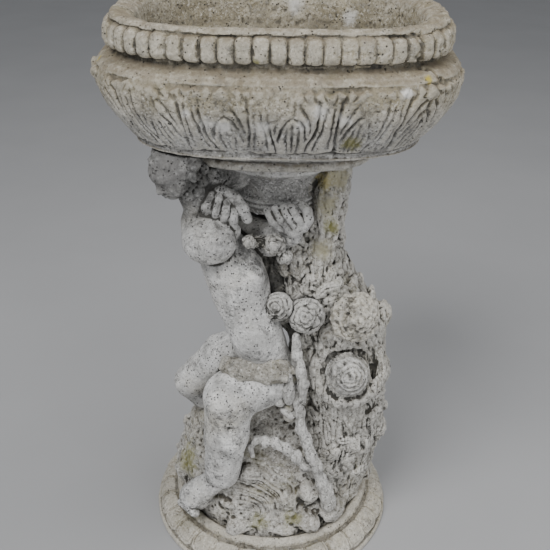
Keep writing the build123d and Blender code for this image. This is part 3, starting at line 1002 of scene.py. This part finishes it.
def make_stub(name, node, centre, direction, radius, material, seed):
    """A sawn branch: a short drum with a worn edge and growth rings on its face."""
    out, across, up = boss_axes(direction)
    centre = np.array(centre, float)
    reach = radius + 14
    clay = Clay(centre - reach - 26, centre + reach + 12, FINE_VOXEL)
    clay.limb(centre - out * 34, centre - out * 6, radius * 0.93, radius * 0.9, 4)
    clay.lump(centre - out * 5, (5, radius, radius * 0.97), np.array([out, across, up]), 3)

    def growth_rings(points):
        away, angle, height = boss_frame(points, centre, direction)
        wobble = 2.0 * noise(points, 15.0, seed) + 0.8 * noise(points, 5.0, seed + 1)
        rings = np.cos((away + wobble) / radius * 2 * math.pi * 5.2)
        face = smooth_step(-8, -2, height) * (1 - smooth_step(radius * 0.84, radius * 0.95, away))
        lip = np.exp(-(((away + wobble - radius * 0.86) / 3.0) ** 2)) * smooth_step(-10, -3, height)
        check = np.exp(-((angle - 1.9 + 0.02 * wobble) ** 2) * away) * face
        return 0.7 * rings * face + 1.6 * lip - 1.2 * face - 2.0 * check

    clay.make(name, [node], material, (0.7, 0.6, seed, 0.8), growth_rings)


PETAL_ROUNDS = ((0.26, 3, 1.8), (0.5, 4, 2.0), (0.76, 5, 2.2))  # share of radius, petals, drop


def petal_terraces(away, angle, radius, draw):
    """How far a rose's terraces of overlapping petals sink from its heart outward."""
    sink = np.zeros(len(away))
    groove = np.zeros(len(away))
    for ring, count, drop in PETAL_ROUNDS:
        phase = draw.uniform(0, 6)
        wave = np.abs(np.sin((angle * count + phase) / 2)) ** 0.7
        edge = radius * ring * (0.8 + 0.24 * wave)
        sink += drop * smooth_step(-1.0, 2.2, away - edge)
        groove += np.exp(-(((away - edge - 1.6) / 1.5) ** 2))
    return sink, groove


def make_rose(name, node, blooms, material, seed, wear=1.1, cut=0.8):
    """Roses or rosettes: domes cut in terraces of overlapping petals round a rolled heart."""
    reach = max(bloom[2] for bloom in blooms) + 14
    spots = np.array([bloom[0] for bloom in blooms], float)
    clay = Clay(spots.min(0) - reach - 10, spots.max(0) + reach, ROSE_VOXEL)
    for spot, direction, radius, depth in blooms:
        out, across, up = boss_axes(direction)
        spot = np.array(spot, float)
        clay.limb(spot - out * 26, spot - out * 8, radius * 0.72, radius * 0.74, 4)
        clay.lump(spot - out * 4, (depth, radius, radius * 0.96), np.array([out, across, up]), 3)

    def petals(points):
        draw = np.random.default_rng(seed)
        shift = np.zeros(len(points))
        for spot, direction, radius, depth in blooms:
            away, angle, height = boss_frame(points, spot, direction)
            warp = away + 2.6 * wear * noise(points, 9.0, seed + 2) + 1.4 * noise(points, 4.5, seed + 4)
            sink, groove = petal_terraces(warp, angle, radius, draw)
            curl = np.exp(-(((warp - radius * 0.08) / 1.6) ** 2))
            mine = (away < radius * 1.15) & (height > -depth)
            shift = np.where(mine, cut * (2.4 - sink - 2.0 * groove - 2.0 * curl), shift)
        return shift

    clay.make(name, [node], material, (wear, wear * 1.2, seed + 3, 0.6), petals)


def make_vine(material):
    clay = Clay((-40, -148, 70), (116, -80, 410), FINE_VOXEL)
    stem = [
        (32, -98, 392, 6.0), (35, -104, 368, 6.4), (41, -109, 344, 6.4), (45, -112, 318, 7.0),
        (43, -113, 292, 6.4), (40, -115, 266, 6.6), (45, -118, 240, 7.0), (54, -119, 214, 7.6),
        (61, -121, 190, 7.4), (70, -122, 166, 8.0), (79, -122, 140, 8.5), (88, -122, 114, 10.5),
        (94, -121, 92, 11.0),
    ]
    branch = [
        (68, -121, 166, 7), (52, -122, 172, 7), (38, -122, 188, 7), (24, -121, 200, 6.5),
        (6, -119, 211, 6.5), (-10, -116, 214, 6), (-24, -110, 210, 6),
    ]
    clay.chain(stem, 3)
    clay.chain(branch, 3)
    clay.chain([(41, -114, 268, 6), (28, -114, 262, 5.5), (16, -110, 268, 5)], 3)
    clay.chain([(22, -108, 334, 5), (30, -112, 300, 5.5), (40, -114, 272, 6)], 3)
    clay.chain([(-24, -110, 210, 6), (-34, -108, 196, 5), (-30, -112, 180, 4)], 3)
    draw = np.random.default_rng(29)
    for x, y, z, radius in stem[1:] + branch[1:-1]:
        shift = draw.uniform(-2.5, 2.5, 3)
        clay.lump(np.array([x, y, z]) + shift, (radius, radius - 0.5, radius * 1.8), None, 6)

    def twist(points):
        return 1.6 * (np.abs(noise(points, (4.5, 4.5, 19.0), 77)) - 0.3)

    clay.make("vine_stem", ["vine"], material, (0.4, 0.8, 171, 0.5), twist)


def make_fruit(material):
    clay = Clay((-4, -140, 256), (54, -84, 350), FINE_VOXEL)
    clay.lump((24, -112, 304), (10, 12, 23), None, 2)
    clay.limb((17, -124, 320), (21, -125, 290), 1.6, 1.4, 2, carve=True)
    clay.lump((11, -108, 330), (9, 9, 7), None, 3)
    clay.lump((10, -108, 284), (9, 9, 10), None, 3)
    clay.make("vine_pod", ["vine_fruit"], material, (0.5, 0.6, 181, 0.7))


GROUND = [
    (0, 0, 38, 146, 144), (-6, 0, 70, 153, 140), (-10, 2, 100, 152, 132), (-14, 4, 135, 138, 118),
    (-20, 8, 175, 116, 99), (-28, 12, 225, 90, 78), (-34, 12, 275, 70, 64), (-38, 6, 306, 54, 52),
]
ROCKS = [
    ((-136, -34, 92), (28, 30, 24)), ((-120, -70, 70), (26, 22, 20)), ((-112, -6, 150), (26, 28, 26)),
    ((-96, -40, 196), (22, 24, 26)), ((-44, -126, 58), (34, 18, 14)), ((6, -130, 56), (36, 16, 13)),
    ((54, -126, 62), (28, 18, 16)), ((98, -104, 66), (24, 22, 20)), ((22, -118, 96), (22, 16, 20)),
    ((60, -110, 106), (20, 18, 20)),
]


def crags(points):
    """Broken rock, with a swirl of water or weed carved on the front."""
    rock = 1.8 - np.abs(fractal(points, 24.0, 3, 12)) * 4.6 - np.abs(noise(points, 7.0, 13)) * 1.8
    warp = wandered(points, 12, 34.0, 91)
    water = np.hypot(warp[:, 0] + 44, (warp[:, 2] - 84) * 1.2)
    strands = np.abs(noise(np.stack([water, points[:, 1] * 0.3, water * 0], 1), (2.2, 40.0, 9.0), 4))
    near = np.exp(-(((points[:, 0] + 14) / 44) ** 2) - ((points[:, 2] - 124) / 40) ** 2)
    near = near * (points[:, 1] < -50)
    return rock * (1 - near) + (1.2 - 4.4 * strands) * near


def make_ground(material):
    """Boulders heaped on a cone, each one turned its own way."""
    clay = Clay((-176, -170, 32), (172, 170, 330), VOXEL * 1.1)
    clay.column(GROUND, 8)
    draw = np.random.default_rng(59)
    for centre, radii in ROCKS:
        turn = Euler((draw.uniform(-0.4, 0.4), draw.uniform(-0.4, 0.4), draw.uniform(0, 3)))
        clay.lump(centre, radii, np.array(turn.to_matrix()), 4)
    for _ in range(64):
        z = draw.uniform(44, 250)
        angle = draw.uniform(-math.pi, math.pi)
        size = draw.uniform(10, 22)
        turn = Euler((draw.uniform(0, 3), draw.uniform(0, 3), draw.uniform(0, 3))).to_matrix()
        radii = (size, size * draw.uniform(0.6, 1), size * draw.uniform(0.45, 0.8))
        clay.lump(side_spot(GROUND, z, angle, 7), radii, np.array(turn), 4)
    clay.make("ground_boulders", ["rocky_ground"], material, (0.7, 1.1, 191, 0.6), crags, low=33)


# ---- materials


class Graph:
    """Small helper that adds nodes and joins them."""

    def __init__(self, name):
        self.material = bpy.data.materials.new(name)
        self.material.use_nodes = True
        self.tree = self.material.node_tree
        self.shader = self.tree.nodes["Principled BSDF"]

    def node(self, kind, settings=(), **inputs):
        node = self.tree.nodes.new(kind)
        for key, value in dict(settings).items():
            setattr(node, key, value)
        for key, value in inputs.items():
            socket = node.inputs[int(key[1:])] if key[0] == "i" and key[1:].isdigit() else node.inputs[key]
            self.join(value, socket)
        return node

    def join(self, value, socket):
        if isinstance(value, bpy.types.NodeSocket):
            self.tree.links.new(value, socket)
        else:
            socket.default_value = value

    def math(self, operation, a, b=0.0, clamp=False):
        node = self.node("ShaderNodeMath", {"operation": operation, "use_clamp": clamp}, i0=a, i1=b)
        return node.outputs[0]

    def times(self, a, b, clamp=False):
        return self.math("MULTIPLY", a, b, clamp)

    def plus(self, a, b, clamp=False):
        return self.math("ADD", a, b, clamp)

    def less(self, a, b):
        return self.math("SUBTRACT", a, b)

    def band(self, value, low, high):
        """Zero below `low`, one above `high`, smooth between."""
        settings = {"interpolation_type": "SMOOTHSTEP", "clamp": True}
        node = self.node("ShaderNodeMapRange", settings, Value=value)
        node.inputs["From Min"].default_value = low
        node.inputs["From Max"].default_value = high
        return node.outputs["Result"]

    def mix(self, share, a, b):
        node = self.node("ShaderNodeMix", {"data_type": "RGBA"})
        self.join(share, node.inputs[0])
        self.join(a, node.inputs[6])
        self.join(b, node.inputs[7])
        return node.outputs[2]

    def speckle(self, place, scale, detail=4.0, rough=0.6, distortion=0.0):
        node = self.node("ShaderNodeTexNoise", Vector=place, Scale=scale, Detail=detail)
        node.inputs["Roughness"].default_value = rough
        node.inputs["Distortion"].default_value = distortion
        return node.outputs["Fac"]

    def cells(self, place, scale):
        node = self.node("ShaderNodeTexVoronoi", {"feature": "F1"}, Vector=place, Scale=scale)
        return node.outputs["Distance"]

    def bump(self, height, strength, distance):
        node = self.node("ShaderNodeBump", Height=height, Strength=strength, Distance=distance)
        self.join(node.outputs["Normal"], self.shader.inputs["Normal"])


def grey(value, warmth=0.0):
    """A stone colour of a brightness, pushed towards buff by `warmth`."""
    return (value * (1 + 0.45 * warmth), value * (1 + 0.1 * warmth), value * (1 - 0.7 * warmth), 1.0)


def stone(
    name, light, dark, warmth, grime_and_shade, moss, deep=1.0, basin_shadow_strength=0.0, browned=0.0, spots=(),
    grains=1.0, ashen=None, belt=None, pitted=0.5,
):
    """Weathered cast stone: blotched body, dark grime and painted shade in hollows, a painted shadow of
    the basin above half a metre, pits, moss and lichen.
    """
    g = Graph(name)
    place = g.node("ShaderNodeTexCoord").outputs["Object"]
    fine = g.node("ShaderNodeAttribute", {"attribute_name": "fine_hollow"}).outputs["Fac"]
    wide = g.node("ShaderNodeAttribute", {"attribute_name": "wide_hollow"}).outputs["Fac"]
    # ambient occlusion, used below as painted shade in hollows
    shut_in = g.node("ShaderNodeAmbientOcclusion", {"samples": 8}, Distance=0.03)
    shade = g.less(1.0, shut_in.outputs["AO"])

    blotch = g.band(g.speckle(place, 18.0, 7.0, 0.68, 0.6), 0.36, 0.66)
    colour = g.mix(blotch, grey(dark, warmth), grey(light, warmth * 0.7))
    warm = g.band(g.speckle(place, 7.0, 5.0, 0.65, 0.3), 0.48, 0.7)
    buff = grey(light * 0.8, warmth + 0.22)
    colour = g.mix(g.times(warm, 0.4), colour, buff)

    # aggregate: dark and pale grains of a millimetre or two
    grit = g.speckle(place, 330.0, 4.0, 0.75)
    dark_grain = g.times(g.band(grit, 0.5, 0.61), 0.85 * grains)
    colour = g.mix(dark_grain, colour, grey(dark * 0.45, warmth))
    pale_grain = g.times(g.band(g.speckle(place, 240.0, 4.0, 0.75), 0.52, 0.63), 0.75 * grains)
    colour = g.mix(pale_grain, colour, grey(min(light * 1.5, 0.88), warmth * 0.4))

    # the lower part of a casting greyer, out of the sun and rain
    height = g.node("ShaderNodeSeparateXYZ", Vector=place).outputs["Z"]
    if ashen:
        kept = g.plus(g.times(g.band(height, *ashen), 0.75), 0.25)
        colour = g.node("ShaderNodeHueSaturation", Saturation=kept, Color=colour).outputs["Color"]
    # dust in the sheltered channel between two heights
    if belt:
        low, high = belt
        dust = g.times(g.band(height, low - 0.012, low), g.band(height, high + 0.006, high))
        colour = g.mix(g.times(dust, 0.5), colour, grey(dark * 0.75, warmth))

    # rubbed edges lighter; hollows darker with grime and painted shade, from the hollow depths and ambient
    # occlusion
    edge = g.band(g.times(fine, -1.0), 0.1, 0.65)
    colour = g.mix(g.times(edge, 0.4), colour, grey(min(light * 1.3, 0.85), warmth * 0.5))
    smear = g.band(g.speckle(place, 34.0, 6.0, 0.7, 1.0), 0.32, 0.68)
    crevice_grime_and_shade = g.plus(g.band(fine, 0.1, 0.8), g.times(g.band(wide, 0.3, 2.4), deep))
    crevice_grime_and_shade = g.plus(crevice_grime_and_shade, g.times(g.band(shade, 0.5, 0.95), 0.4 + 0.6 * deep))
    crevice_grime_and_shade = g.times(crevice_grime_and_shade, g.plus(g.times(smear, 0.75), 0.35))
    crevice_grime_and_shade = g.times(crevice_grime_and_shade, grime_and_shade, True)
    colour = g.mix(crevice_grime_and_shade, colour, grey(0.045, 0.15))

    # soot and damp patches
    patch = g.band(g.speckle(place, 15.0, 9.0, 0.78, 1.0), 0.46, 0.62)
    veil = g.times(patch, g.band(g.speckle(place, 120.0, 6.0, 0.8), 0.42, 0.58))
    colour = g.mix(g.times(veil, 0.8 * grime_and_shade), colour, grey(0.06, 0.1))

    # painted shadow of the basin: a mottled darkening above half a metre, strongest on the figure
    under_basin = g.band(height, 0.5, 0.61)
    painted_basin_shadow = g.plus(g.times(g.speckle(place, 45.0, 7.0, 0.75, 0.5), 1.5), -0.25, True)
    painted_basin_shadow = g.times(g.times(painted_basin_shadow, under_basin), basin_shadow_strength, True)
    colour = g.mix(painted_basin_shadow, colour, grey(0.07, 0.1))

    # moss and algae where it is sheltered or faces up
    up = g.node("ShaderNodeSeparateXYZ", Vector=g.node("ShaderNodeNewGeometry").outputs["Normal"])
    facing = g.band(up.outputs["Z"], -0.1, 0.8)
    mottle = g.band(g.speckle(place, 55.0, 8.0, 0.8), 0.3, 0.62)
    brown = g.times(g.times(facing, mottle), browned)
    colour = g.mix(brown, colour, (0.2, 0.165, 0.115, 1.0))
    growth = g.band(g.speckle(place, 13.0, 7.0, 0.75, 0.8), 0.52, 0.68)
    growth = g.times(growth, g.plus(g.times(facing, 0.6), 0.3))
    growth = g.times(growth, moss)
    colour = g.mix(growth, colour, (0.2, 0.185, 0.075, 1.0))

    # lichen, algae and soot at a few known places, and painted shade at others: in the hollow behind the
    # figure, round the lower stub and on the head under the basin
    for centre, radius, tint in spots:
        away = g.node("ShaderNodeVectorMath", {"operation": "DISTANCE"}, i0=place, i1=centre)
        ragged = g.times(g.speckle(place, 95.0, 6.0, 0.8), radius * 2.4)
        reach = g.plus(away.outputs["Value"], ragged)
        share = g.less(1.0, g.band(reach, radius * 1.35, radius * 2.3))
        colour = g.mix(g.times(share, 0.8), colour, tint)

    # pits: small dark holes scattered over the casting
    gate = g.band(g.speckle(place, 75.0, 3.0, 0.6), pitted, pitted + 0.12)
    pit = g.times(g.less(1.0, g.band(g.cells(place, 210.0), 0.14, 0.3)), gate)
    colour = g.mix(g.times(pit, 0.9), colour, grey(0.03, 0.1))

    g.join(colour, g.shader.inputs["Base Color"])
    rough = g.node("ShaderNodeMapRange", Value=grit)
    rough.inputs["To Min"].default_value = 0.82
    rough.inputs["To Max"].default_value = 0.96
    g.join(rough.outputs["Result"], g.shader.inputs["Roughness"])
    g.shader.inputs["Specular IOR Level"].default_value = 0.22
    relief = g.times(g.speckle(place, 150.0, 7.0, 0.75), 0.6)
    relief = g.plus(relief, g.times(grit, 0.35))
    relief = g.less(relief, g.times(pit, 0.9))
    g.bump(relief, 0.9, 0.0022)
    return g.material


YELLOW = (0.46, 0.36, 0.03, 1.0)
OLIVE = (0.24, 0.23, 0.08, 1.0)
WHITE = (0.78, 0.77, 0.74, 1.0)
# This dark tint is soot on the basin's foot and painted shade on the figure and the trunk; the mid grey
# below is painted shade and shadow, with some dirt on the head.
SOOT_AND_SHADE = (0.05, 0.05, 0.048, 1.0)
SAND = (0.4, 0.37, 0.25, 1.0)
SHADOW_AND_DIRT_GREY = (0.17, 0.165, 0.16, 1.0)


def metal(name):
    g = Graph(name)
    place = g.node("ShaderNodeTexCoord").outputs["Object"]
    rust = g.band(g.speckle(place, 60.0, 6.0, 0.7, 0.5), 0.45, 0.62)
    g.join(g.mix(rust, (0.32, 0.31, 0.3, 1), (0.2, 0.09, 0.04, 1)), g.shader.inputs["Base Color"])
    g.join(g.less(1.0, rust), g.shader.inputs["Metallic"])
    g.join(g.plus(g.times(rust, 0.4), 0.45), g.shader.inputs["Roughness"])
    g.bump(rust, 0.4, 0.0004)
    return g.material


def floor_material():
    g = Graph("studio_floor")
    place = g.node("ShaderNodeTexCoord").outputs["Object"]
    cloud = g.speckle(place, 3.0, 3.0, 0.5)
    g.join(g.mix(cloud, (0.36, 0.36, 0.365, 1), (0.41, 0.41, 0.415, 1)), g.shader.inputs["Base Color"])
    g.shader.inputs["Roughness"].default_value = 0.75
    return g.material


# ---- stage, light and camera


def make_stage():
    bpy.ops.mesh.primitive_plane_add(size=40.0)
    floor = bpy.context.object
    floor.name = "studio_floor"
    floor.data.materials.append(floor_material())
    world = bpy.data.worlds.new("soft_studio")
    bpy.context.scene.world = world
    world.use_nodes = True
    background = world.node_tree.nodes["Background"]
    background.inputs["Color"].default_value = (0.93, 0.96, 1.0, 1)
    background.inputs["Strength"].default_value = 0.3


def area_light(name, place, size, power, target=(0, 0, 0.5)):
    light = bpy.data.lights.new(name, "AREA")
    light.shape = "DISK"
    light.size = size
    light.energy = power
    lamp = bpy.data.objects.new(name, light)
    lamp.location = place
    lamp.rotation_euler = (Vector(target) - Vector(place)).to_track_quat("-Z", "Y").to_euler()
    bpy.context.scene.collection.objects.link(lamp)


CAMERA_AT = (0.0, -1.087, 1.020)
LENS_MM = 52.4
LOOK_DOWN = 28.0
ROLL = 1.0


def make_camera():
    """A normal lens at chest height, looking down at the font and rolled a little (degrees)."""
    lens = bpy.data.cameras.new("camera")
    lens.sensor_width = 36.0
    lens.lens = LENS_MM
    camera = bpy.data.objects.new("camera", lens)
    camera.location = CAMERA_AT
    look = Euler((math.radians(90 - LOOK_DOWN), 0, 0)).to_matrix()
    camera.rotation_euler = (look @ Euler((0, 0, math.radians(ROLL))).to_matrix()).to_euler()
    bpy.context.scene.collection.objects.link(camera)
    bpy.context.scene.camera = camera


# ---- assembly


def main():
    basin_stone = stone(
        "basin_stone", 0.47, 0.27, 0.36, 0.72, 0.3, 0.3, 0.0, 0.85,
        [
            ((0.176, -0.150, 0.785), 0.007, YELLOW), ((-0.225, -0.078, 0.786), 0.006, YELLOW),
            ((-0.026, -0.172, 0.806), 0.006, OLIVE), ((-0.009, -0.169, 0.715), 0.007, WHITE),
            ((0.007, -0.171, 0.720), 0.005, WHITE), ((-0.084, -0.174, 0.732), 0.013, WHITE),
            ((-0.062, -0.175, 0.730), 0.011, WHITE), ((-0.018, -0.176, 0.729), 0.014, WHITE),
            ((0.050, -0.183, 0.751), 0.014, WHITE), ((0.030, -0.178, 0.733), 0.013, WHITE),
            ((0.078, -0.178, 0.741), 0.012, WHITE), ((0.150, -0.168, 0.772), 0.009, WHITE),
            ((-0.107, -0.174, 0.745), 0.009, WHITE), ((0.016, -0.121, 0.663), 0.009, WHITE),
            ((0.090, -0.160, 0.706), 0.016, OLIVE), ((0.006, -0.130, 0.669), 0.012, SOOT_AND_SHADE),
            ((0.052, -0.128, 0.668), 0.010, SOOT_AND_SHADE), ((-0.060, -0.128, 0.668), 0.012, SOOT_AND_SHADE),
            ((0.024, 0.143, 0.819), 0.017, WHITE), ((0.105, 0.134, 0.803), 0.015, WHITE),
        ],
        ashen=(0.715, 0.765),
        belt=(0.772, 0.795),
    )
    body_stone = stone(
        "body_stone", 0.88, 0.46, 0.04, 1.0, 0.12, 1.0, 1.0,
        # painted shade and shadow: the dark spots at the nape stand for the basin's shadow, those by the
        # torso's right side and the grey one below them for the hollow's shade, and the grey spots on the
        # head for the basin's shadow with some dirt
        spots=[
            ((-0.104, -0.104, 0.632), 0.042, SOOT_AND_SHADE), ((-0.070, -0.070, 0.628), 0.03, SOOT_AND_SHADE),
            ((-0.036, -0.106, 0.536), 0.034, SOOT_AND_SHADE), ((-0.016, -0.098, 0.512), 0.022, SOOT_AND_SHADE),
            ((-0.140, -0.125, 0.672), 0.04, SHADOW_AND_DIRT_GREY), ((-0.150, -0.120, 0.640), 0.03, SHADOW_AND_DIRT_GREY),
            ((-0.020, -0.085, 0.480), 0.026, SHADOW_AND_DIRT_GREY),
        ],
        grains=0.5,
        pitted=0.42,
    )
    tree_stone = stone(
        "tree_stone", 0.6, 0.32, 0.14, 0.8, 0.3, 0.9, 0.35, 0.15,
        # yellow, sand and olive spots are lichen and stains; the dark spots in the hollow behind the
        # figure and round the lower stub are painted shade
        [
            ((0.060, -0.056, 0.619), 0.022, YELLOW), ((0.086, -0.056, 0.622), 0.026, SAND),
            ((0.070, -0.062, 0.585), 0.026, SAND), ((0.080, -0.062, 0.552), 0.016, OLIVE),
            ((0.066, -0.066, 0.520), 0.02, SAND), ((-0.008, -0.05, 0.490), 0.03, SOOT_AND_SHADE),
            ((-0.002, -0.05, 0.456), 0.03, SOOT_AND_SHADE), ((0.113, -0.080, 0.322), 0.05, SOOT_AND_SHADE),
        ],
    )
    ground_stone = stone(
        "ground_stone", 0.6, 0.34, 0.12, 0.9, 0.45, 0.8, 0.0, 0.3,
        [
            ((-0.145, -0.06, 0.125), 0.034, OLIVE), ((-0.02, -0.15, 0.07), 0.022, OLIVE),
            ((0.035, -0.145, 0.075), 0.02, OLIVE), ((-0.03, -0.12, 0.2), 0.018, OLIVE),
        ],
    )
    make_basin(basin_stone)
    make_neck(stone("neck_stone", 0.56, 0.28, 0.05, 0.6, 0.1, 0.4))
    make_plinth(stone("plinth_stone", 0.58, 0.36, 0.26, 0.62, 0.25, 0.3, 0.0, 0.3))
    make_putto(body_stone)
    make_drapery(stone("cloth_stone", 0.44, 0.26, 0.2, 0.9, 1.2, 0.8))
    make_trunk(tree_stone)
    pale_stone = stone("pale_stone", 0.62, 0.38, 0.22, 0.8, 0.1, 0.8, 0.0, 0.15)
    stub_stone = stone("stub_stone", 0.6, 0.34, 0.08, 1.0, 0.15, 1.0)
    rose_stone = stone("rose_stone", 0.5, 0.25, 0.1, 1.0, 0.2, 1.0)
    make_stub("stub_lower", "lower_branch_stub", STUB_AT, STUB_FACING, 35, stub_stone, 201)
    boss = [((119, -88, 421), (0.25, -1, 0.35), 40, 20)]
    make_rose("stub_upper", "upper_branch_stub", boss, pale_stone, 211, wear=1.9, cut=0.45)
    make_rose("rose_large", "large_rose", [((46, -94, 426), (-0.1, -1, 0.45), 30, 20)], rose_stone, 221)
    make_rose("rose_small", "small_rose", [((4, -98, 442), (-0.25, -1, 0.4), 25, 18)], rose_stone, 231)
    blooms = [
        ((-2, -96, 540), (-0.1, -1, 0.35), 19, 13), ((-24, -88, 538), (-0.4, -1, 0.2), 13, 10),
        ((14, -92, 518), (0.1, -1, 0.2), 14, 11), ((-38, -106, 547), (-0.3, -1, 0.3), 12, 10),
    ]
    make_rose("flowers_upper", "upper_flowers", blooms, rose_stone, 241)
    make_vine(stub_stone)
    make_fruit(stub_stone)
    make_ground(ground_stone)
    steel = metal("rusted_steel")
    for node in ("locating_dowel", "trunk_reinforcing_bar"):
        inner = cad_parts[node]
        inner.data.materials.clear()
        inner.data.materials.append(steel)
    make_stage()
    area_light("key", (-1.1, -1.7, 3.1), 1.7, 88)
    area_light("fill", (1.6, -2.8, 0.8), 1.8, 28)
    area_light("top", (1.3, -0.3, 3.1), 2.8, 42)
    make_camera()


main()
